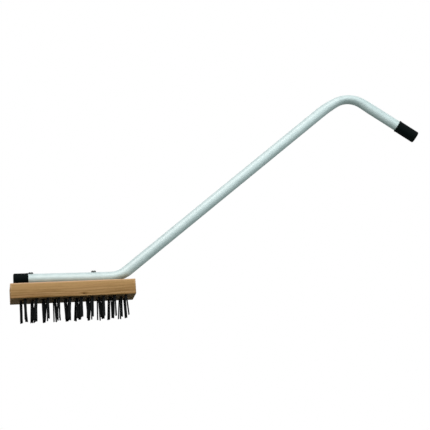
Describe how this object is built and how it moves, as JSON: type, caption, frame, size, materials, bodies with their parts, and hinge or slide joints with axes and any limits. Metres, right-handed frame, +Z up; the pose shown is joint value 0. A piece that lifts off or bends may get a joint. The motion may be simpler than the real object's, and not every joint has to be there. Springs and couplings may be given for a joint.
{
  "type": "grill brush",
  "caption": "Long-handled grill brush: a wooden block with tufts of flat steel wire under a bent aluminium tube with soft end caps, for scrubbing hot grates from a distance.",
  "frame": {"origin": "on the ground under the middle of the overall length and width; the longest bristles stand on z = 0", "axes": "+X from the brush's nose to the grip, +Y to the far side of the picture, +Z up"},
  "size_m": [0.785, 0.0636, 0.4099],
  "materials": {
    "wood": "bare sanded hardwood, fine grain",
    "tube": "satin anodised",
    "cap": "matte black soft vinyl",
    "wire": "dark tempered steel, flat wire",
    "screw": "plated steel, dulled",
    "staple": "bare steel strip"
  },
  "bodies": {
    "root": {"bend_screw": "screw", "grip_cap": "cap", "handle_tube": "tube", "head_cap": "cap", "nose_screw": "screw", "tuft_row1_01": "wire", "tuft_row1_02": "wire", "tuft_row1_03": "wire", "tuft_row1_04": "wire", "tuft_row1_05": "wire", "tuft_row1_06": "wire", "tuft_row1_07": "wire", "tuft_row1_08": "wire", "tuft_row1_09": "wire", "tuft_row1_10": "wire", "tuft_row2_01": "wire", "tuft_row2_02": "wire", "tuft_row2_03": "wire", "tuft_row2_04": "wire", "tuft_row2_05": "wire", "tuft_row2_06": "wire", "tuft_row2_07": "wire", "tuft_row2_08": "wire", "tuft_row2_09": "wire", "tuft_row2_10": "wire", "tuft_row3_01": "wire", "tuft_row3_02": "wire", "tuft_row3_03": "wire", "tuft_row3_04": "wire", "tuft_row3_05": "wire", "tuft_row3_06": "wire", "tuft_row3_07": "wire", "tuft_row3_08": "wire", "tuft_row3_09": "wire", "tuft_row3_10": "wire", "tuft_row4_01": "wire", "tuft_row4_02": "wire", "tuft_row4_03": "wire", "tuft_row4_04": "wire", "tuft_row4_05": "wire", "tuft_row4_06": "wire", "tuft_row4_07": "wire", "tuft_row4_08": "wire", "tuft_row4_09": "wire", "tuft_row4_10": "wire", "tuft_staples": "staple", "wood_block": "wood"}
  },
  "joints": []
}
